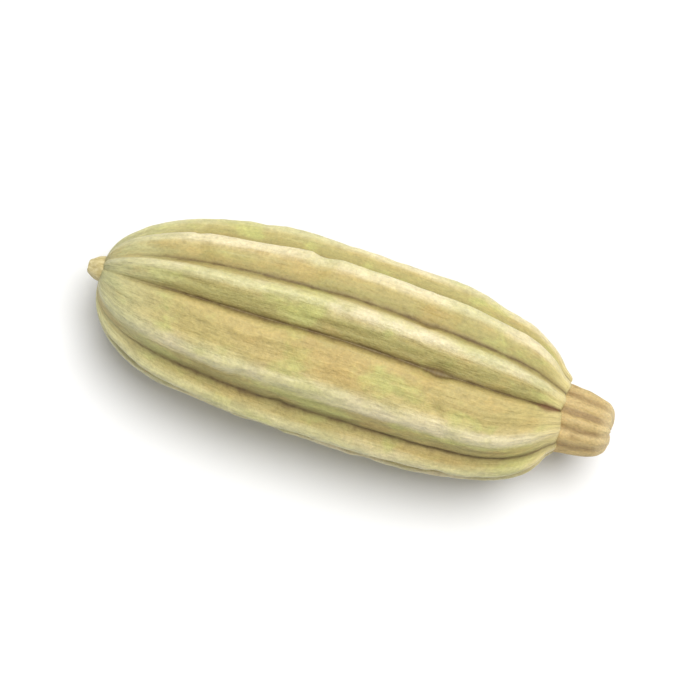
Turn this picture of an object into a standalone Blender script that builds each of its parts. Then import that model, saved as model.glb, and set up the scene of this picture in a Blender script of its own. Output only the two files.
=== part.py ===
"""A dried fennel fruit, the whole seed of the spice jar. It grew as one piece: two ribbed halves
joined along a seam, with the cleft foot of the styles at its tip and a stalk scar at its base.

The seed lies along X, base at -X and tip at +X, on the two ribs beside its lower seam.
Angles round its axis are in degrees from straight up, positive towards -Y."""

import bisect
import math

import bmesh
import bpy
from mathutils import Matrix, Vector

MM = 0.001

# The body, over its ribs: its half towards +Y is a little narrower than its half towards -Y
BODY_LENGTH = 7.3 * MM
REAR_HALF_WIDTH = 1.50 * MM
FRONT_HALF_WIDTH = 1.60 * MM
BODY_THICKNESS = 2.70 * MM
# How blunt its ends are, at the base and at the tip: 2 is an ellipse, and more is a fuller shoulder
REAR_BLUNTNESS = (2.3, 2.9)
FRONT_BLUNTNESS = (2.8, 3.5)
UNDERSIDE_BLUNTNESS = 3.4
# How far the axis bends towards -Y at the tip
TIP_DROP = 0.08 * MM

# Ribs and seams, which run from end to end
SEAM_ANGLES = (0, 180)
REAR_RIB_ANGLES = (-19, -50, -77, -116, -150)
FRONT_RIB_ANGLES = (31, 69, 99, 127, 150)
RIB_HEIGHT = 0.16 * MM
RIB_SPREAD = 8.5
FURROW_BULGE = 0.05 * MM
SEAM_DEPTH = 0.10 * MM
SEAM_SPREAD = 3.0

# The foot of the styles: a blunt knob, cleft above and below in line with the seams
FOOT_LENGTH = 0.78 * MM
FOOT_WIDTH = 1.06 * MM
FOOT_HEIGHT = 0.86 * MM
FOOT_BLUNTNESS = 5.0
FOOT_TAPER = 0.20
FOOT_SINK = 0.34 * MM
FOOT_DROP = 0.05 * MM
CLEFT_DEPTH = 0.20
CLEFT_SPREAD = 14.0

# The stalk scar, a short blunt cone
SCAR_LENGTH = 0.22 * MM
SCAR_ROOT_RADIUS = 0.25 * MM
SCAR_END_RADIUS = 0.12 * MM
SCAR_SINK = 0.20 * MM
SCAR_BEVEL = 0.05 * MM

# Mesh fineness
STEPS_BETWEEN_FEATURES = 5
BODY_RINGS = 38
FOOT_LINES = 36
FOOT_RINGS = 16
ROUND_SEGMENTS = 14


def clear_scene():
    for old in list(bpy.data.objects):
        bpy.data.objects.remove(old, do_unlink=True)


def seed_skin_material():
    material = bpy.data.materials.new("dried_seed_skin")
    material.use_nodes = True
    shader = material.node_tree.nodes["Principled BSDF"]
    shader.inputs["Base Color"].default_value = (0.56, 0.49, 0.20, 1)
    shader.inputs["Roughness"].default_value = 0.62
    shader.inputs["Metallic"].default_value = 0.0
    return material


def mesh_object(name, shape, collection):
    mesh = bpy.data.meshes.new(name)
    shape.to_mesh(mesh)
    shape.free()
    made = bpy.data.objects.new(name, mesh)
    collection.objects.link(made)
    return made


def angle_between(first, second):
    """The smallest turn between two angles, in degrees."""
    return abs((first - second + 180) % 360 - 180)


def feature_angles():
    """Every rib and seam once round the axis, from the underside seam and back to it."""
    found = {(angle + 180) % 360 - 180 for angle in SEAM_ANGLES}
    found.update(REAR_RIB_ANGLES, FRONT_RIB_ANGLES)
    return sorted(found) + [180]


def angle_at_step(step, features):
    """The angle of one line of the mesh, spaced so that each rib and seam has a line of its own."""
    index, part = divmod(step, STEPS_BETWEEN_FEATURES)
    index %= len(features) - 1
    share = part / STEPS_BETWEEN_FEATURES
    return features[index] + share * (features[index + 1] - features[index])


def bulge_between(angle, features):
    """From 0 on a rib or seam to 1 midway to the next."""
    after = min(max(bisect.bisect_right(features, angle), 1), len(features) - 1)
    low, high = features[after - 1], features[after]
    return math.sin(math.pi * (angle - low) / (high - low)) ** 2


def taper(along, power):
    """How wide a blunt form is here, as a share of its widest: 0 at both ends."""
    return max(0.0, 1 - abs(along) ** power) ** (1 / power)


def bluntness(along, turn):
    """How full the body is at this end, on this side."""
    at_tip = along > 0
    rear, front = REAR_BLUNTNESS[at_tip], FRONT_BLUNTNESS[at_tip]
    side = rear + (front - rear) * max(0, math.sin(turn))
    under = max(0, -math.cos(turn)) ** 2
    return side + (UNDERSIDE_BLUNTNESS - side) * under


def skin_relief(angle, along, features):
    """How far the skin stands from the smooth body, on its ribs, furrows and seams."""
    end_fade = 1 - abs(along) ** 6
    ribs = REAR_RIB_ANGLES + FRONT_RIB_ANGLES
    nearest_rib = min(angle_between(angle, rib) for rib in ribs)
    nearest_seam = min(angle_between(angle, seam) for seam in SEAM_ANGLES)
    rib = RIB_HEIGHT * math.exp(-((nearest_rib / RIB_SPREAD) ** 2))
    seam = SEAM_DEPTH * math.exp(-((nearest_seam / SEAM_SPREAD) ** 2))
    furrow = FURROW_BULGE * bulge_between(angle, features)
    return end_fade * (rib + furrow - seam - RIB_HEIGHT)


def axis_y(along):
    return -TIP_DROP * max(0, along) ** 1.5


def body_point(along, angle, features):
    """A point of the skin. along runs from -1 at the base to 1 at the tip."""
    turn = math.radians(angle)
    half_width = FRONT_HALF_WIDTH if math.sin(turn) > 0 else REAR_HALF_WIDTH
    smooth = 1 / math.hypot(
        math.sin(turn) / half_width, math.cos(turn) / (BODY_THICKNESS / 2)
    )
    fullness = taper(along, bluntness(along, turn))
    radius = fullness * (smooth + skin_relief(angle, along, features))
    return Vector(
        (
            along * BODY_LENGTH / 2,
            axis_y(along) - radius * math.sin(turn),
            radius * math.cos(turn),
        )
    )


def build_body(collection):
    """A UV sphere with its poles on X, whose lines follow the ribs and seams."""
    features = feature_angles()
    lines = STEPS_BETWEEN_FEATURES * (len(features) - 1)
    shape = bmesh.new()
    bmesh.ops.create_uvsphere(shape, u_segments=lines, v_segments=BODY_RINGS, radius=1)
    for vertex in shape.verts:
        along = vertex.co.z
        if abs(along) > 1 - 1e-5:
            vertex.co = (along * BODY_LENGTH / 2, axis_y(along), 0)
            continue
        step = round(math.atan2(vertex.co.y, vertex.co.x) / math.tau * lines) % lines
        vertex.co = body_point(along, angle_at_step(step, features), features)
    bmesh.ops.recalc_face_normals(shape, faces=shape.faces)
    return mesh_object("fennel_seed", shape, collection)


def build_foot(collection):
    """The blunt, cleft knob at the tip."""
    shape = bmesh.new()
    bmesh.ops.create_uvsphere(
        shape, u_segments=FOOT_LINES, v_segments=FOOT_RINGS, radius=1
    )
    reach = FOOT_LENGTH + FOOT_SINK
    middle = BODY_LENGTH / 2 - FOOT_SINK + reach / 2
    for vertex in shape.verts:
        along = vertex.co.z
        turn = math.atan2(vertex.co.y, vertex.co.x)
        from_cleft = min(
            angle_between(math.degrees(turn), seam) for seam in SEAM_ANGLES
        )
        cleft = 1 - CLEFT_DEPTH * math.exp(-((from_cleft / CLEFT_SPREAD) ** 2))
        narrowing = 1 - FOOT_TAPER * max(0, along + 0.4) / 1.4
        radius = taper(along, FOOT_BLUNTNESS) * narrowing * cleft
        vertex.co = (
            middle + along * reach / 2,
            axis_y(1) - FOOT_DROP - radius * math.sin(turn) * FOOT_WIDTH / 2,
            radius * math.cos(turn) * FOOT_HEIGHT / 2,
        )
    bmesh.ops.remove_doubles(shape, verts=shape.verts, dist=1e-7)
    bmesh.ops.recalc_face_normals(shape, faces=shape.faces)
    return mesh_object("style_foot", shape, collection)


def build_scar(collection):
    """The blunt end of the stalk, where it broke away."""
    shape = bmesh.new()
    reach = SCAR_LENGTH + SCAR_SINK
    made = bmesh.ops.create_cone(
        shape,
        cap_ends=True,
        segments=ROUND_SEGMENTS,
        radius1=SCAR_ROOT_RADIUS,
        radius2=SCAR_END_RADIUS,
        depth=reach,
    )
    outer_rim = [
        edge
        for edge in shape.edges
        if all(vertex.co.z > 0 for vertex in edge.verts)
    ]
    bmesh.ops.bevel(
        shape, geom=outer_rim, offset=SCAR_BEVEL, segments=2, affect="EDGES"
    )
    middle = -BODY_LENGTH / 2 + SCAR_SINK - reach / 2
    place = Matrix.Translation((middle, axis_y(-1), 0))
    lie_along_x = Matrix.Rotation(-math.pi / 2, 4, "Y")
    bmesh.ops.transform(shape, matrix=place @ lie_along_x, verts=shape.verts)
    return mesh_object("stalk_scar", shape, collection)


def grow_together(body, growth):
    """Joins a smaller form to the body as one closed skin."""
    union = body.modifiers.new(growth.name, "BOOLEAN")
    union.operation = "UNION"
    union.solver = "EXACT"
    union.object = growth
    growth.hide_render = True
    growth.display_type = "WIRE"


def settle_on_origin(seed, growths):
    """Puts the origin under the middle of the seed, at the height it rests on."""
    bpy.context.view_layer.update()
    whole = seed.evaluated_get(bpy.context.evaluated_depsgraph_get())
    corners = [Vector(corner) for corner in whole.bound_box]
    lowest = Vector(map(min, zip(*corners)))
    highest = Vector(map(max, zip(*corners)))
    middle = (lowest + highest) / 2
    shift = Matrix.Translation((-middle.x, -middle.y, -lowest.z))
    for piece in (seed, *growths):
        piece.data.transform(shift)


def main():
    clear_scene()
    seed_parts = bpy.data.collections.new("fennel_seed_parts")
    growth_parts = bpy.data.collections.new("growths")
    for collection in (seed_parts, growth_parts):
        bpy.context.scene.collection.children.link(collection)
    seed = build_body(seed_parts)
    seed.data.materials.append(seed_skin_material())
    growths = [build_scar(growth_parts), build_foot(growth_parts)]
    for growth in growths:
        grow_together(seed, growth)
    settle_on_origin(seed, growths)
    seed.data.shade_smooth()


main()
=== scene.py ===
import math

import bmesh
import bpy
import numpy as np
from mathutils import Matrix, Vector, noise


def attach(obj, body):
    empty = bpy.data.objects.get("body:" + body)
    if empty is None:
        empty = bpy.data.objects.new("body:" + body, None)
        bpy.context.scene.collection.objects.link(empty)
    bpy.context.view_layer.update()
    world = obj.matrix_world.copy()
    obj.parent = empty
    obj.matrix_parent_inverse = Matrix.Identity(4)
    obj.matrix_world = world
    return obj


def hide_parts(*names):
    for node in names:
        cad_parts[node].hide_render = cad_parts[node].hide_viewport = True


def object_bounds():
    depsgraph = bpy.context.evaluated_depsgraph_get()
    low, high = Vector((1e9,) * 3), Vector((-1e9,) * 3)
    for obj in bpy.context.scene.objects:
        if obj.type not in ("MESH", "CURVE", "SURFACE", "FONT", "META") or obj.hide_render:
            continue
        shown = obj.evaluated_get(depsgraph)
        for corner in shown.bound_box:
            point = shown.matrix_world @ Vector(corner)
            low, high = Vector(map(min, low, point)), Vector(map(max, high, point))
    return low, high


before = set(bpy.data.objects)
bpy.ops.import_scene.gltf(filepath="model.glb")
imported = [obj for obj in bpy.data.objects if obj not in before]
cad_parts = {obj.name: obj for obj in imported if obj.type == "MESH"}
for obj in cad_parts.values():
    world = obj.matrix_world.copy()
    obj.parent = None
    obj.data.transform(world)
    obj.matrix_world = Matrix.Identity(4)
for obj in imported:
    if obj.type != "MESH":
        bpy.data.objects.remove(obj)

cad_low, cad_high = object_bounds()

MM = 0.001

# The seed lies along X, base at -X and tip at +X. Angles round its axis are in degrees from
# straight up, positive towards -Y, which is its front.
BODY_LENGTH = 7.3 * MM
REAR_HALF_WIDTH = 1.50 * MM
FRONT_HALF_WIDTH = 1.60 * MM
BODY_THICKNESS = 2.66 * MM
# How blunt the ends are, at the base and at the tip: 2 is an ellipse
REAR_BLUNTNESS = (2.3, 2.9)
FRONT_BLUNTNESS = (2.8, 3.5)
UNDERSIDE_BLUNTNESS = (3.4, 3.4)
# How far the tip end of the axis stands in front of its middle, and how sharply it bends there
TIP_DROP = 0.08 * MM
TIP_BEND = 1.5

# The foot of the styles: a blunt knob at the tip, cleft in two along the seams
KNOB_LENGTH = 0.78 * MM
KNOB_SINK = 0.34 * MM
KNOB_WIDTH = 1.06 * MM
KNOB_HEIGHT = 0.84 * MM
KNOB_TAPER = 0.20
KNOB_TAPER_FROM = -0.4
KNOB_BLUNTNESS = 5.0
KNOB_DROP = 0.05 * MM
KNOB_END_POWER = 3
KNOB_LINES, KNOB_RINGS = 32, 20
KNOB_MIDDLE = np.array(
    [BODY_LENGTH / 2 + (KNOB_LENGTH - KNOB_SINK) / 2, -TIP_DROP - KNOB_DROP, 0]
)
# Its folds run lengthwise. They drift a little round it, and are shallower towards its end
FOLDS = 9
FOLD_DEPTH = 0.026 * MM
FOLD_SWAY = 0.4
FOLD_STRENGTH = 0.8
FOLD_FLOOR = 0.6
FOLD_LOSS_AT_END = 0.6
# How deep the cleft is on its middle line and on the two lines at each side, as a share of the
# height, and how far over it lies from the knob's own middle, in lines and as a distance
CLEFT = (0.14, 0.08, 0.02)
CLEFT_LINES_OVER = 2
CLEFT_OVER = 0.15 * MM
CLEFT_HALF_WIDTH = 0.06 * MM
CLEFT_END_DEPTH = 0.012 * MM
# The low stumps of the two styles on the end of the knob
STUB_OUT = 0.025 * MM
STUB_FROM_MIDDLE = 0.16 * MM
STUB_HALF_WIDTH, STUB_HALF_HEIGHT = 0.09 * MM, 0.12 * MM

# The stalk end at the base: a short cone, broken off
SCAR_LENGTH = 0.20 * MM
SCAR_RADIUS = 0.30 * MM
SCAR_SINK = 0.20 * MM
SCAR_END_SHARE = 0.42
SCAR_LINES = 16
SCAR_RIM = 0.03 * MM
SCAR_HOLLOW = 0.05 * MM

# Ribs (r) and seams (s) in turn round the seed, from the seam underneath and back to it
FEATURES = (
    (-180, "s"), (-150, "r"), (-116, "r"), (-77, "r"), (-50, "r"), (-19, "r"),
    (0, "s"), (31, "r"), (69, "r"), (99, "r"), (127, "r"), (150, "r"), (180, "s"),
)
# Between two features, each lengthwise line: its share of the way, how far it stands below the
# rib crests in mm, and how much of it is pale rib, dark crease and olive flank. The dark crease is
# partly the real dark line of the seams and furrows and partly painted shade in the grooves, and
# the olive flank partly the furrows' own olive and partly painted shade on the flanks into them
RIB_TO_RIB = (
    (0.00, 0.000, 1.0, 0.0, 0.0), (0.12, 0.034, 0.8, 0.0, 0.1), (0.26, 0.095, 0.2, 0.0, 0.6),
    (0.42, 0.145, 0.0, 0.1, 0.8), (0.56, 0.180, 0.0, 0.5, 0.8), (0.64, 0.210, 0.0, 1.0, 0.6),
    (0.72, 0.175, 0.0, 0.5, 0.6), (0.87, 0.055, 0.6, 0.0, 0.2),
)
SEAM_TO_RIB = (
    (0.00, 0.250, 0.0, 1.0, 0.0), (0.04, 0.155, 0.0, 0.6, 0.0), (0.13, 0.085, 0.0, 0.1, 0.0),
    (0.30, 0.055, 0.0, 0.0, 0.0), (0.50, 0.042, 0.0, 0.0, 0.0), (0.68, 0.034, 0.1, 0.0, 0.0),
    (0.82, 0.020, 0.4, 0.0, 0.0), (0.92, 0.006, 0.8, 0.0, 0.0),
)
RIB_TO_SEAM = (
    (0.00, 0.000, 1.0, 0.0, 0.0), (0.13, 0.022, 0.8, 0.0, 0.1), (0.28, 0.068, 0.3, 0.0, 0.5),
    (0.44, 0.110, 0.0, 0.0, 0.9), (0.60, 0.145, 0.0, 0.1, 1.0), (0.75, 0.175, 0.0, 0.3, 1.0),
    (0.88, 0.205, 0.0, 0.6, 1.0), (0.96, 0.235, 0.0, 1.0, 0.8),
)
LINES = len(RIB_TO_RIB) * (len(FEATURES) - 1)
RINGS = 52
# How much of the poles, where all lines meet, is pale rib
POLE_RIB = 0.6
# How many times each form is subdivided
SEED_LEVELS, KNOB_LEVELS, SCAR_LEVELS = 2, 2, 3

# The unevenness of the skins. Each is a smooth noise: how many features it has to a millimetre
# along the seed and across it, where in the noise it starts, and how high it stands. The two of
# the folds have no height: one is a turn in radians and one a share.
SWELL = ((1.1, 0.8, 0.8), 31.7, 0.030 * MM)
WRINKLE = ((0.9, 5.5, 5.5), 3.9, 0.022 * MM)
FINE_WRINKLE = ((2.6, 11.0, 11.0), 12.2, 0.010 * MM)
CROSS_WRINKLE = ((7.0, 2.5, 2.5), 52.4, 0.007 * MM)
KNOB_CRUMPLE = ((1.6, 4.0, 4.0), 5.0, 0.022 * MM)
KNOB_FINE = ((5.0, 16.0, 16.0), 3.0, 0.010 * MM)
FOLD_DRIFT = ((1.2, 0.0, 0.0), 4.0, 0.5)
FOLD_UNEVEN = ((1.0, 2.0, 2.0), 8.0, 0.4)
SCAR_ROUGH = ((4.0, 6.0, 6.0), 2.0, 0.04 * MM)
# How much of the swelling is left off the ribs, and how much of the wrinkling is lost on them
SWELL_OFF_RIB, WRINKLE_LOST_ON_RIB = 0.3, 0.5
# How far the ribs wander along, sideways and up
WANDER = np.array([0.02, 0.05, 0.03]) * MM
WANDER_SCALE, WANDER_STARTS = (0.45, 0.5, 0.5), (0.0, 7.3, 15.1)
# Dents lie where this noise is above the level
DENT_SCALE, DENT_START, DENT_LEVEL, DENT_DEPTH = (1.9, 1.6, 1.6), 77.0, 0.32, 0.14 * MM
# How fast the unevenness dies away towards the ends
END_FADE = 6
# Where the front ribs begin to draw in towards the seam on top, how sharply they then bend, how
# far they turn as a share of their angle, and how far round this reaches, in radians
DRAW_FROM, DRAW_BEND, DRAW_TURN, DRAW_REACH = 0.70, 1.5, 0.50, 1.3
# The low rim round the foot of the styles
RIM_RADIUS, RIM_HALF_WIDTH, RIM_HEIGHT, RIM_FROM = 0.57 * MM, 0.09 * MM, 0.08 * MM, 0.8


# ---------------------------------------------------------------- helpers


def deselect_all():
    for item in bpy.context.selected_objects:
        item.select_set(False)


def start_on(piece):
    """Makes piece the one selected and active object."""
    deselect_all()
    piece.select_set(True)
    bpy.context.view_layer.objects.active = piece


def edit(piece):
    start_on(piece)
    bpy.ops.object.mode_set(mode="EDIT")
    bpy.ops.mesh.select_mode(type="VERT")
    bpy.ops.mesh.select_all(action="DESELECT")


def leave_edit():
    bpy.ops.object.mode_set(mode="OBJECT")


def pick_all():
    bpy.ops.mesh.select_all(action="SELECT")


def pick(piece, indices):
    """Selects these vertices, by number, and nothing else, in edit mode."""
    mesh = bmesh.from_edit_mesh(piece.data)
    mesh.verts.ensure_lookup_table()
    bpy.ops.mesh.select_all(action="DESELECT")
    for index in indices:
        mesh.verts[index].select = True
    mesh.select_flush(True)
    bmesh.update_edit_mesh(piece.data)


def resize(*shares):
    """Resizes what is picked, from the origin."""
    bpy.ops.transform.resize(value=shares, center_override=(0, 0, 0))


def rotate(angle, axis):
    """Turns what is picked about an axis through the origin, the way the operator counts."""
    bpy.ops.transform.rotate(value=angle, orient_axis=axis, center_override=(0, 0, 0))


def points_of_edit(piece):
    mesh = bmesh.from_edit_mesh(piece.data)
    return np.array([vertex.co[:] for vertex in mesh.verts])


def points_of(piece):
    flat = np.empty(len(piece.data.vertices) * 3, np.float32)
    piece.data.vertices.foreach_get("co", flat)
    return flat.reshape(-1, 3).astype(float)


def normals_of(piece):
    flat = np.empty(len(piece.data.vertices) * 3, np.float32)
    piece.data.vertex_normals.foreach_get("vector", flat)
    return flat.reshape(-1, 3).astype(float)


def set_points(piece, points):
    piece.data.vertices.foreach_set("co", points.astype(np.float32).ravel())
    piece.data.update()


def store(piece, name, values, kind="FLOAT"):
    """Keeps one value a vertex under a name that the materials read."""
    layer = piece.data.attributes.new(name, kind, "POINT")
    key = "vector" if kind == "FLOAT_VECTOR" else "value"
    layer.data.foreach_set(key, np.asarray(values, np.float32).ravel())


def read(piece, name, width=1):
    layer = piece.data.attributes[name]
    flat = np.empty(len(layer.data) * width, np.float32)
    layer.data.foreach_get("vector" if width == 3 else "value", flat)
    return flat.reshape(-1, width).astype(float) if width > 1 else flat.astype(float)


def apply_modifiers(piece):
    start_on(piece)
    for modifier in list(piece.modifiers):
        bpy.ops.object.modifier_apply(modifier=modifier.name)


def subdivide(piece, levels):
    smooth = piece.modifiers.new("skin", "SUBSURF")
    smooth.levels = smooth.render_levels = levels
    apply_modifiers(piece)


def noise_at(points, scale, start=0.0):
    """Smooth noise from -1 to 1 at points in metres; scale is how many features to a millimetre."""
    places = points / MM * np.asarray(scale, float) + start
    return np.array([noise.noise(Vector(place)) for place in places])


def relief(points, kind):
    """How far one of the kinds of unevenness stands out at these points."""
    scale, start, height = kind
    return noise_at(points, scale, start) * height


def hump(values, half_width):
    """1 at 0, and smoothly down on both sides, to about a third at the half width."""
    return np.exp(-((values / half_width) ** 2))


def rings_of(points, rings):
    """The ring each point of a lengthwise sphere is on, from 0 at the tip to rings at the base."""
    return np.round(np.arccos(np.clip(points[:, 0], -1, 1)) / math.pi * rings)


def add_lengthwise_sphere(name, lines, rings):
    """A UV sphere with its poles on X, left in edit mode."""
    bpy.ops.mesh.primitive_uv_sphere_add(segments=lines, ring_count=rings, radius=1)
    sphere = bpy.context.object
    sphere.name = sphere.data.name = name
    edit(sphere)
    pick_all()
    rotate(-math.pi / 2, "Y")
    return sphere


# ---------------------------------------------------------------- body


def line_plan():
    """For each lengthwise line: its angle, its depth below the crests, and how much of it is rib,
    crease and olive flank."""
    between = {"rr": RIB_TO_RIB, "sr": SEAM_TO_RIB, "rs": RIB_TO_SEAM}
    plan = []
    for (start, kind), (end, next_kind) in zip(FEATURES, FEATURES[1:]):
        for share, depth, *colours in between[kind + next_kind]:
            plan.append((start + share * (end - start), depth * MM, *colours))
    return plan


def taper(along, power):
    """How wide the seed is here, as a share of its widest: 0 at both ends."""
    return max(0.0, 1 - abs(along) ** power) ** (1 / power)


def axis_y(along):
    """Where the axis lies, from -1 at the base to 1 at the tip."""
    return -TIP_DROP * max(0.0, along) ** TIP_BEND


def make_cage():
    """A lengthwise sphere, its lines moved onto ribs, creases and seams, and its rings let out to
    the outline of the seed."""
    seed = add_lengthwise_sphere("fennel_seed_skin", LINES, RINGS)
    points = points_of_edit(seed)
    plan = line_plan()
    turn = np.degrees(np.arctan2(-points[:, 1], points[:, 2]))
    line = np.round((turn + 180) / 360 * LINES).astype(int) % LINES
    ring = rings_of(points, RINGS)
    at_pole = (ring == 0) | (ring == RINGS)

    mean_radius = (REAR_HALF_WIDTH + FRONT_HALF_WIDTH + BODY_THICKNESS) / 4
    for number, (angle, depth, *_) in enumerate(plan):
        pick(seed, np.flatnonzero((line == number) & ~at_pole))
        rotate(math.radians(number / LINES * 360 - 180 - angle), "X")
        sunk = 1 - depth / mean_radius
        resize(1, sunk, sunk)
    underneath = points_of_edit(seed)[:, 2] < 0
    in_front = points_of_edit(seed)[:, 1] < 0
    for number in range(1, RINGS):
        along = math.cos(math.pi * number / RINGS)
        rear, front, under = (
            taper(along, at_tip if along > 0 else at_base)
            for at_base, at_tip in (REAR_BLUNTNESS, FRONT_BLUNTNESS, UNDERSIDE_BLUNTNESS)
        )
        fuller = rear / math.sin(math.pi * number / RINGS)
        on_ring = ring == number
        pick(seed, np.flatnonzero(on_ring))
        resize(1, fuller, fuller)
        pick(seed, np.flatnonzero(on_ring & in_front))
        resize(1, front / rear, 1)
        pick(seed, np.flatnonzero(on_ring & underneath))
        resize(1, 1, under / rear)
    pick_all()
    resize(BODY_LENGTH / 2, REAR_HALF_WIDTH, BODY_THICKNESS / 2)
    pick(seed, np.flatnonzero(in_front))
    resize(1, FRONT_HALF_WIDTH / REAR_HALF_WIDTH, 1)
    for number in range(RINGS + 1):
        pick(seed, np.flatnonzero(ring == number))
        along = math.cos(math.pi * number / RINGS)
        bpy.ops.transform.translate(value=(0, axis_y(along), 0))
    pick_all()
    bpy.ops.mesh.normals_make_consistent(inside=False)
    leave_edit()
    mark_lines(seed, points, plan, line, at_pole)
    return seed


def mark_lines(seed, points, plan, line, at_pole):
    """Stores what the materials and the unevenness read: shares of rib, crease and olive, a place
    on the unbent skin, and how far along the seed it is."""
    angles = np.radians([row[0] for row in plan])[line]
    for name, column, pole_value in (("rib", 2, POLE_RIB), ("crease", 3, 0), ("olive", 4, 0)):
        shares = np.array([row[column] for row in plan])[line]
        store(seed, name, np.where(at_pole, pole_value, shares))
    grain = np.stack(
        [
            points[:, 0] * BODY_LENGTH / 2,
            -np.sin(angles) * REAR_HALF_WIDTH,
            np.cos(angles) * REAR_HALF_WIDTH,
        ],
        1,
    )
    grain[at_pole, 1:] = 0
    store(seed, "grain", grain, "FLOAT_VECTOR")
    store(seed, "along", points[:, 0])


def weather(seed):
    """The unevenness of a grown and dried skin: ribs that wander and swell, and fine wrinkles that
    run with them."""
    points, normals = points_of(seed), normals_of(seed)
    grain, rib, along = read(seed, "grain", 3), read(seed, "rib"), read(seed, "along")
    fade = np.clip((1 - np.abs(along)) * END_FADE, 0, 1)
    wander = np.stack([noise_at(grain, WANDER_SCALE, start) for start in WANDER_STARTS], 1)
    points += wander * fade[:, None] * WANDER
    swell = relief(grain, SWELL) * (SWELL_OFF_RIB + rib)
    wrinkle = relief(grain, WRINKLE) * (1 - WRINKLE_LOST_ON_RIB * rib)
    fine = relief(grain, FINE_WRINKLE) + relief(grain, CROSS_WRINKLE)
    dents = np.clip(noise_at(grain, DENT_SCALE, DENT_START) - DENT_LEVEL, 0, 1) * DENT_DEPTH
    points += normals * ((swell + wrinkle + fine - dents) * fade)[:, None]

    turn = np.arctan2(-points[:, 1], points[:, 2])
    drawn = np.clip((along - DRAW_FROM) / (1 - DRAW_FROM), 0, 1) ** DRAW_BEND
    drawn = drawn * DRAW_TURN * np.clip(turn, 0, None) * hump(turn, DRAW_REACH)
    sideways, upward = points[:, 1].copy(), points[:, 2].copy()
    points[:, 1] = sideways * np.cos(drawn) + upward * np.sin(drawn)
    points[:, 2] = upward * np.cos(drawn) - sideways * np.sin(drawn)

    from_axis = np.hypot(points[:, 1] - axis_y(1), points[:, 2])
    points[:, 0] += hump(from_axis - RIM_RADIUS, RIM_HALF_WIDTH) * (along > RIM_FROM) * RIM_HEIGHT
    set_points(seed, points)


# ---------------------------------------------------------------- tip and base


def folds(points):
    """How deep in a lengthwise fold of the knob these points are, from -1 on a ridge to 1. Points
    are counted from the knob's middle."""
    around = np.arctan2(points[:, 1], points[:, 2])
    drift = relief(points, FOLD_DRIFT) + FOLD_SWAY * np.sin(around * 2)
    strength = FOLD_STRENGTH + relief(points, FOLD_UNEVEN)
    between = -np.cos(around * FOLDS + drift) * strength
    cleft = FOLD_STRENGTH * hump(points[:, 1] - CLEFT_OVER, CLEFT_HALF_WIDTH)
    return np.clip(between + cleft, -1, 1)


def make_knob():
    """The dried foot of the styles: blunt, wrinkled, and cleft above and below in line with the
    seams, with the stumps of the two styles at its end."""
    knob = add_lengthwise_sphere("style_foot", KNOB_LINES, KNOB_RINGS)
    points = points_of_edit(knob)
    turn = np.degrees(np.arctan2(points[:, 1], np.abs(points[:, 2])))
    line = np.round(turn / 360 * KNOB_LINES)
    ring = rings_of(points, KNOB_RINGS)
    for step in (-2, -1, 0, 1, 2):
        pick(knob, np.flatnonzero(line == step + CLEFT_LINES_OVER))
        resize(1, 1, 1 - CLEFT[abs(step)])
    for number in range(1, KNOB_RINGS):
        along = math.cos(math.pi * number / KNOB_RINGS)
        fuller = taper(along, KNOB_BLUNTNESS) / math.sin(math.pi * number / KNOB_RINGS)
        tapered = max(0, along - KNOB_TAPER_FROM) / (1 - KNOB_TAPER_FROM)
        fuller *= 1 - KNOB_TAPER * tapered
        pick(knob, np.flatnonzero(ring == number))
        resize(1, fuller, fuller)
    pick_all()
    half_length = (KNOB_LENGTH + KNOB_SINK) / 2
    resize(half_length, KNOB_WIDTH / 2, KNOB_HEIGHT / 2)
    bpy.ops.mesh.normals_make_consistent(inside=False)
    leave_edit()
    subdivide(knob, KNOB_LEVELS)

    points, normals = points_of(knob), normals_of(knob)
    end = np.clip(points[:, 0] / half_length, 0, 1) ** KNOB_END_POWER
    side = np.abs(points[:, 1])
    cleft = hump(side, CLEFT_HALF_WIDTH) * CLEFT_END_DEPTH * end
    stumps = hump(side - STUB_FROM_MIDDLE, STUB_HALF_WIDTH) * hump(points[:, 2], STUB_HALF_HEIGHT)
    points[:, 0] += (stumps * STUB_OUT - cleft) * end
    uneven = relief(points, KNOB_CRUMPLE) + relief(points, KNOB_FINE)
    in_folds = np.clip(folds(points), -1, FOLD_FLOOR) * (1 - FOLD_LOSS_AT_END * end) * FOLD_DEPTH
    points += normals * (uneven - in_folds)[:, None]
    set_points(knob, points + KNOB_MIDDLE)
    return knob


def make_scar():
    """The end of the stalk, a short cone with a hollow where it broke away."""
    depth = SCAR_LENGTH + SCAR_SINK
    bpy.ops.mesh.primitive_cylinder_add(
        vertices=SCAR_LINES, radius=SCAR_RADIUS, depth=depth, end_fill_type="NGON"
    )
    scar = bpy.context.object
    scar.name = scar.data.name = "stalk_end"
    edit(scar)
    pick(scar, np.flatnonzero(points_of_edit(scar)[:, 2] > 0))
    resize(SCAR_END_SHARE, SCAR_END_SHARE, 1)
    for _ in range(2):
        bpy.ops.mesh.inset(thickness=SCAR_RIM)
    bpy.ops.transform.translate(value=(0, 0, -SCAR_HOLLOW))
    pick_all()
    rotate(math.pi / 2, "Y")
    out = -BODY_LENGTH / 2 + SCAR_SINK - depth / 2
    bpy.ops.transform.translate(value=(out, axis_y(-1), 0))
    leave_edit()
    subdivide(scar, SCAR_LEVELS)
    points, normals = points_of(scar), normals_of(scar)
    set_points(scar, points + normals * relief(points, SCAR_ROUGH)[:, None])
    return scar


def grow_together(seed, others):
    """Joins the smaller forms to the seed as one closed skin."""
    for other in others:
        union = seed.modifiers.new(other.name, "BOOLEAN")
        union.operation = "UNION"
        union.solver = "EXACT"
        union.material_mode = "TRANSFER"
        union.object = other
    apply_modifiers(seed)
    for other in others:
        bpy.data.objects.remove(other, do_unlink=True)


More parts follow.
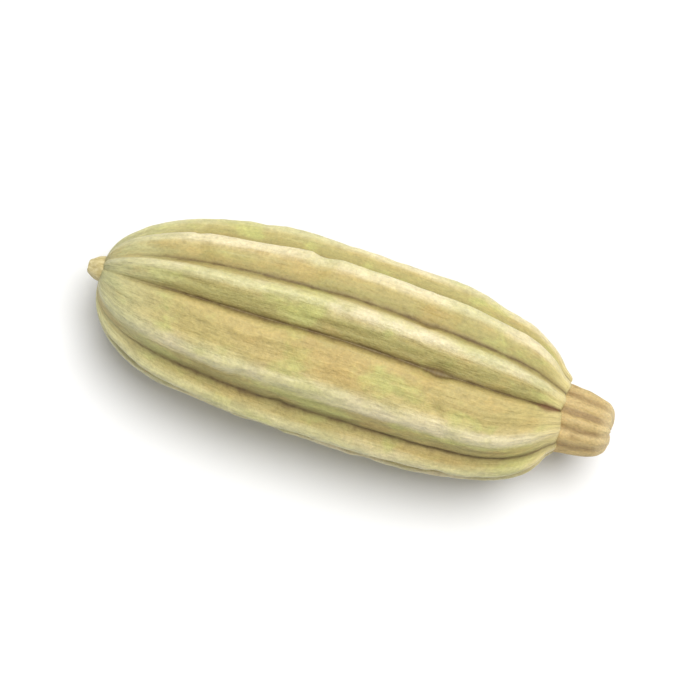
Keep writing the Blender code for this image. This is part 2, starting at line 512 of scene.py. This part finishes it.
def lay_down(seed):
    """Marks the folds, and puts the seed in the middle of the frame's box, on the surface. The
    union doesn't keep the knob's own marks, so its folds are marked after it."""
    points = points_of(seed)
    store(seed, "fold", folds(points - KNOB_MIDDLE))
    low, high = points.min(0), points.max(0)
    shift = (np.array(cad_low) + np.array(cad_high) - low - high) / 2
    shift[2] = cad_low.z - low[2]
    set_points(seed, points + shift)


# ---------------------------------------------------------------- materials


def colour(red, green, blue):
    return (red, green, blue, 1.0)


RIB_CREAM = colour(0.84, 0.74, 0.45)
RIB_GREEN = colour(0.70, 0.65, 0.33)
BAND_GOLD = colour(0.62, 0.48, 0.18)
BAND_STRAW = colour(0.56, 0.46, 0.17)
STAIN_GOLD = colour(0.62, 0.42, 0.14)
# The olive of the flanks: partly the furrows' own colour, partly painted shade on the flanks that
# slope into the seams and furrows
FLANK_OLIVE_AND_SHADE = colour(0.44, 0.39, 0.135)
PATCH_GREEN = colour(0.58, 0.58, 0.19)
# The two crease colours: partly the real dark line of the seams and furrows, partly painted shade
# in the grooves
CREASE_OLIVE_AND_SHADE = colour(0.30, 0.23, 0.075)
CREASE_BROWN_AND_SHADE = colour(0.13, 0.08, 0.028)
BASE_GREEN = colour(0.62, 0.60, 0.31)
TIP_CREAM = colour(0.80, 0.66, 0.29)
SPOT_RED = colour(0.20, 0.075, 0.035)
# The middle of the spot, on the seam close to the tip, and where it begins and ends to fade
SPOT = (3.37 * MM, 0, REAR_HALF_WIDTH)
SPOT_FADE = (0.05 * MM, 0.20 * MM)
FOOT_TAN = colour(0.60, 0.445, 0.19)
FOOT_BROWN = colour(0.40, 0.27, 0.10)
FOOT_CREAM = colour(0.74, 0.60, 0.33)
# Painted shade for the folds and the cleft of the foot of the styles
FOLD_PAINTED_SHADE = colour(0.22, 0.125, 0.045)
# From where to where along the seed the foot of the styles turns cream
FOOT_END = (3.85 * MM, 4.10 * MM)
STALK_CREAM = colour(0.72, 0.62, 0.33)
STALK_TAN = colour(0.52, 0.42, 0.18)
PAPER = colour(0.93, 0.93, 0.93)

# The colour sockets of a Mix node, whose names other kinds of value share
MIX_FIRST, MIX_SECOND, MIX_RESULT = 6, 7, 2


class Sheet:
    """A node tree being filled in. Noises have their features counted to a metre."""

    def __init__(self, name):
        self.material = bpy.data.materials.new(name)
        self.material.use_nodes = True
        self.tree = self.material.node_tree
        self.shader = self.tree.nodes["Principled BSDF"]

    def node(self, kind, **settings):
        made = self.tree.nodes.new(kind)
        for key, value in settings.items():
            setattr(made, key, value)
        return made

    def feed(self, socket, value):
        if isinstance(value, bpy.types.NodeSocket):
            self.tree.links.new(value, socket)
        else:
            socket.default_value = value

    def attribute(self, name, output="Fac"):
        return self.node("ShaderNodeAttribute", attribute_name=name).outputs[output]

    def place(self):
        return self.node("ShaderNodeTexCoord").outputs["Object"]

    def cloud(self, vector, scale, detail, roughness, shift=(0, 0, 0)):
        """Noise, with scale features to a metre along each axis."""
        stretched = self.node("ShaderNodeMapping")
        self.feed(stretched.inputs["Vector"], vector)
        stretched.inputs["Scale"].default_value = scale
        stretched.inputs["Location"].default_value = shift
        made = self.node("ShaderNodeTexNoise")
        self.feed(made.inputs["Vector"], stretched.outputs["Vector"])
        made.inputs["Scale"].default_value = 1.0
        made.inputs["Detail"].default_value = detail
        made.inputs["Roughness"].default_value = roughness
        return made.outputs["Fac"]

    def times(self, first, second):
        made = self.node("ShaderNodeMath", operation="MULTIPLY")
        self.feed(made.inputs[0], first)
        self.feed(made.inputs[1], second)
        return made.outputs[0]

    def ragged(self, value, noise, strength):
        """The value, unsettled by a noise that lies about a half."""
        centred = self.node("ShaderNodeMath", operation="SUBTRACT")
        self.feed(centred.inputs[0], noise)
        centred.inputs[1].default_value = 0.5
        made = self.node("ShaderNodeMath", operation="MULTIPLY_ADD")
        for socket, given in zip(made.inputs, (centred.outputs[0], strength, value)):
            self.feed(socket, given)
        return made.outputs[0]

    def ramp(self, value, low, high, out_low=0.0, out_high=1.0):
        """Eases from out_low to out_high as value goes from low to high."""
        made = self.node("ShaderNodeMapRange", interpolation_type="SMOOTHSTEP")
        for socket, given in zip(made.inputs, (value, low, high, out_low, out_high)):
            self.feed(socket, given)
        return made.outputs["Result"]

    def blend(self, share, first, second, mode="MIX"):
        made = self.node("ShaderNodeMix", data_type="RGBA", blend_type=mode)
        self.feed(made.inputs["Factor"], share)
        self.feed(made.inputs[MIX_FIRST], first)
        self.feed(made.inputs[MIX_SECOND], second)
        return made.outputs[MIX_RESULT]

    def shade(self, base, level):
        """Darkens or lightens a colour by a level that lies about 1."""
        grey = self.node("ShaderNodeCombineColor")
        for socket in grey.inputs:
            self.feed(socket, level)
        return self.blend(1.0, base, grey.outputs["Color"], mode="MULTIPLY")

    def bumps(self, *heights):
        """Lays bumps one over the other, each a height, a distance and a strength."""
        normal = None
        for height, distance, strength in heights:
            made = self.node("ShaderNodeBump")
            made.inputs["Strength"].default_value = strength
            made.inputs["Distance"].default_value = distance
            self.feed(made.inputs["Height"], height)
            if normal is not None:
                self.feed(made.inputs["Normal"], normal)
            normal = made.outputs["Normal"]
        self.feed(self.shader.inputs["Normal"], normal)

    def let_light_in(self, weight, radius, scale):
        self.shader.inputs["Subsurface Weight"].default_value = weight
        self.shader.inputs["Subsurface Radius"].default_value = radius
        self.shader.inputs["Subsurface Scale"].default_value = scale

    def paint(self, base, roughness):
        self.feed(self.shader.inputs["Base Color"], base)
        self.feed(self.shader.inputs["Roughness"], roughness)


def skin_material():
    """Pale corded ribs, golden-olive bands whose olive flanks are partly painted shade, dark
    creases that are partly their real dark line and partly painted shade, and fibres that run with
    the ribs.
    """
    skin = Sheet("dried_seed_skin")
    grain = skin.attribute("grain", "Vector")
    rib, crease, olive, along = (
        skin.attribute(name) for name in ("rib", "crease", "olive", "along")
    )
    fibre = skin.cloud(grain, (900, 9000, 9000), 6.0, 0.62)
    fine_fibre = skin.cloud(grain, (4000, 34000, 34000), 3.0, 0.6)
    mottle = skin.cloud(grain, (700, 1300, 1300), 3.0, 0.5, (3, 1, 2))
    blotch = skin.cloud(grain, (900, 1700, 1700), 5.0, 0.6, (8, 8, 1))
    tint = skin.cloud(grain, (1100, 1500, 1500), 4.0, 0.55, (1, 6, 5))
    dapple = skin.cloud(grain, (5200, 8000, 8000), 4.0, 0.6, (9, 4, 1))
    pepper = skin.cloud(grain, (17000, 20000, 20000), 4.0, 0.65, (2, 7, 5))

    on_rib = skin.ramp(skin.ragged(rib, fibre, 0.8), 0.05, 0.95)
    on_flank = skin.ramp(skin.ragged(olive, fibre, 1.2), 0.1, 1.1)
    # Where the crease colours go: the real dark line together with painted shade in the grooves,
    # weaker towards the base where the grooves are shallow
    ragged_crease = skin.ragged(crease, dapple, 1.1)
    near_crease = skin.ramp(ragged_crease, 0.0, 0.8, 0.0, 0.65)
    in_crease = skin.ramp(ragged_crease, 0.5, 1.2, 0.0, 0.9)
    crease_depth = skin.ramp(along, -0.97, -0.6, 0.12, 1.0)
    tinted = skin.times(skin.ramp(tint, 0.50, 0.62), skin.ramp(on_rib, 0, 1, 0.75, 0.3))
    stained = skin.times(skin.ramp(blotch, 0.50, 0.68), skin.ramp(on_rib, 0, 1, 0.45, 0.1))
    from_spot = skin.node("ShaderNodeVectorMath", operation="DISTANCE")
    skin.feed(from_spot.inputs[0], grain)
    from_spot.inputs[1].default_value = SPOT
    spot = skin.ramp(from_spot.outputs["Value"], *SPOT_FADE, 0.7, 0.0)

    band = skin.blend(skin.ramp(mottle, 0.35, 0.65), BAND_STRAW, BAND_GOLD)
    # Olive flanks: partly real colour, partly painted shade
    band = skin.blend(on_flank, band, FLANK_OLIVE_AND_SHADE)
    cord = skin.blend(skin.ramp(mottle, 0.40, 0.62), RIB_GREEN, RIB_CREAM)
    body = skin.blend(on_rib, band, cord)
    for share, laid_over in (
        (tinted, PATCH_GREEN),
        (skin.ramp(along, -0.55, -0.98, 0.0, 0.75), BASE_GREEN),
        (stained, STAIN_GOLD),
        (skin.ramp(along, 0.86, 0.985, 0.0, 0.8), TIP_CREAM),
        # Painted shade in the creases and the seam, laid on together with their real dark line
        (skin.times(near_crease, crease_depth), CREASE_OLIVE_AND_SHADE),
        (skin.times(in_crease, crease_depth), CREASE_BROWN_AND_SHADE),
        (spot, SPOT_RED),
    ):
        body = skin.blend(share, body, laid_over)
    for speckle, low, high, darkest, palest in (
        (fibre, 0.30, 0.72, 0.94, 1.04),
        (fine_fibre, 0.3, 0.7, 0.95, 1.04),
        (dapple, 0.32, 0.68, 0.90, 1.07),
        (pepper, 0.28, 0.72, 0.88, 1.09),
    ):
        body = skin.shade(body, skin.ramp(speckle, low, high, darkest, palest))
    skin.paint(body, skin.ramp(on_rib, 0.0, 1.0, 0.58, 0.36))
    skin.bumps(
        (fibre, 0.030 * MM, 0.8),
        (dapple, 0.028 * MM, 0.8),
        (pepper, 0.012 * MM, 0.8),
        (fine_fibre, 0.008 * MM, 0.7),
    )
    skin.let_light_in(0.06, (1.0, 0.75, 0.35), 0.18 * MM)
    return skin.material


def foot_material():
    """Straw-tan, wrinkled tissue, browner in its folds and its cleft with painted shade, paler at
    its end.
    """
    foot = Sheet("style_foot_tissue")
    place = foot.place()
    fold = foot.attribute("fold")
    crumple = foot.cloud(place, (3000, 9000, 9000), 5.0, 0.6)
    fine = foot.cloud(place, (24000, 34000, 34000), 4.0, 0.6)
    out = foot.node("ShaderNodeSeparateXYZ")
    foot.feed(out.inputs["Vector"], place)
    fold_shade = foot.ramp(foot.ragged(fold, crumple, 1.6), -0.1, 1.1, 0.0, 0.65)
    at_end = foot.ramp(out.outputs["X"], *FOOT_END, 0.0, 0.6)
    tissue = foot.blend(foot.ramp(crumple, 0.30, 0.52), FOOT_BROWN, FOOT_TAN)
    # Painted shade: dark brown laid into the folds and the cleft
    tissue = foot.blend(fold_shade, tissue, FOLD_PAINTED_SHADE)
    tissue = foot.blend(at_end, tissue, FOOT_CREAM)
    foot.paint(foot.shade(tissue, foot.ramp(fine, 0.3, 0.7, 0.85, 1.10)), 0.6)
    foot.bumps((crumple, 0.03 * MM, 0.9), (fine, 0.008 * MM, 0.8))
    foot.let_light_in(0.1, (1.0, 0.6, 0.3), 0.15 * MM)
    return foot.material


def stalk_material():
    """The pale, fibrous end of the stalk."""
    stalk = Sheet("stalk_end")
    fibres = stalk.cloud(stalk.place(), (6000, 16000, 16000), 4.0, 0.6)
    stalk.paint(stalk.blend(stalk.ramp(fibres, 0.34, 0.64), STALK_TAN, STALK_CREAM), 0.7)
    stalk.bumps((fibres, 0.02 * MM, 0.9))
    return stalk.material


def floor_material():
    floor = Sheet("white_paper")
    floor.paint(PAPER, 0.9)
    return floor.material


# ---------------------------------------------------------------- studio

# How far the camera is turned about its line of sight, and how much of the floor it spans
VIEW_TURN = math.radians(16.9)
VIEW_SPAN = 10.6 * MM
LENS, SENSOR = 150.0, 36.0
# The nearest and farthest that the camera sees, as shares of its distance
CLIP_NEAR, CLIP_FAR = 0.05, 100
# Where the lamp is in the picture, 0 at its right and 90 at its top, its height, its strength
# and how soft its shadows are, as the angle it fills
KEY_SIDE, KEY_RISE, KEY_STRENGTH, KEY_SPREAD = 52, 68, 2.9, 34
FILL_STRENGTH, BACKDROP_STRENGTH = 0.34, 1.0
FLOOR_SIZE = 3


def make_camera():
    """Straight above the seed, turned so that its tip points down to the right."""
    middle = (cad_low + cad_high) / 2
    distance = VIEW_SPAN * LENS / SENSOR
    bpy.ops.object.camera_add(
        location=(middle.x, middle.y, middle.z + distance), rotation=(0, 0, VIEW_TURN)
    )
    camera = bpy.context.object
    camera.data.lens = LENS
    camera.data.sensor_width = SENSOR
    camera.data.clip_start = distance * CLIP_NEAR
    camera.data.clip_end = distance * CLIP_FAR
    bpy.context.scene.camera = camera


def make_lamp():
    side = math.radians(KEY_SIDE) + VIEW_TURN
    rise = math.radians(KEY_RISE)
    towards_lamp = Vector(
        (math.cos(side) * math.cos(rise), math.sin(side) * math.cos(rise), math.sin(rise))
    )
    bpy.ops.object.light_add(
        type="SUN", rotation=towards_lamp.to_track_quat("Z", "Y").to_euler()
    )
    lamp = bpy.context.object
    lamp.name = "key"
    lamp.data.energy = KEY_STRENGTH
    lamp.data.angle = math.radians(KEY_SPREAD)


def make_world():
    """Even white light from all sides, weaker than the plain white the camera sees behind."""
    world = bpy.data.worlds.new("studio")
    world.use_nodes = True
    tree = world.node_tree
    background = tree.nodes["Background"]
    background.inputs["Color"].default_value = (1, 1, 1, 1)
    seen = tree.nodes.new("ShaderNodeLightPath").outputs["Is Camera Ray"]
    strength = tree.nodes.new("ShaderNodeMapRange")
    strength.inputs["To Min"].default_value = FILL_STRENGTH
    strength.inputs["To Max"].default_value = BACKDROP_STRENGTH
    tree.links.new(seen, strength.inputs["Value"])
    tree.links.new(strength.outputs["Result"], background.inputs["Strength"])
    bpy.context.scene.world = world


def make_floor():
    bpy.ops.mesh.primitive_plane_add(size=FLOOR_SIZE, location=(0, 0, cad_low.z))
    floor = bpy.context.object
    floor.name = "floor"
    floor.data.materials.append(floor_material())


def make_seed():
    seed = make_cage()
    subdivide(seed, SEED_LEVELS)
    weather(seed)
    seed.data.materials.append(skin_material())
    knob, scar = make_knob(), make_scar()
    knob.data.materials.append(foot_material())
    scar.data.materials.append(stalk_material())
    grow_together(seed, (knob, scar))
    lay_down(seed)
    seed.data.shade_smooth()
    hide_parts("fennel_seed")
    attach(seed, "root")


deselect_all()
make_seed()
make_floor()
make_lamp()
make_world()
make_camera()
bpy.context.scene.view_settings.view_transform = "Standard"
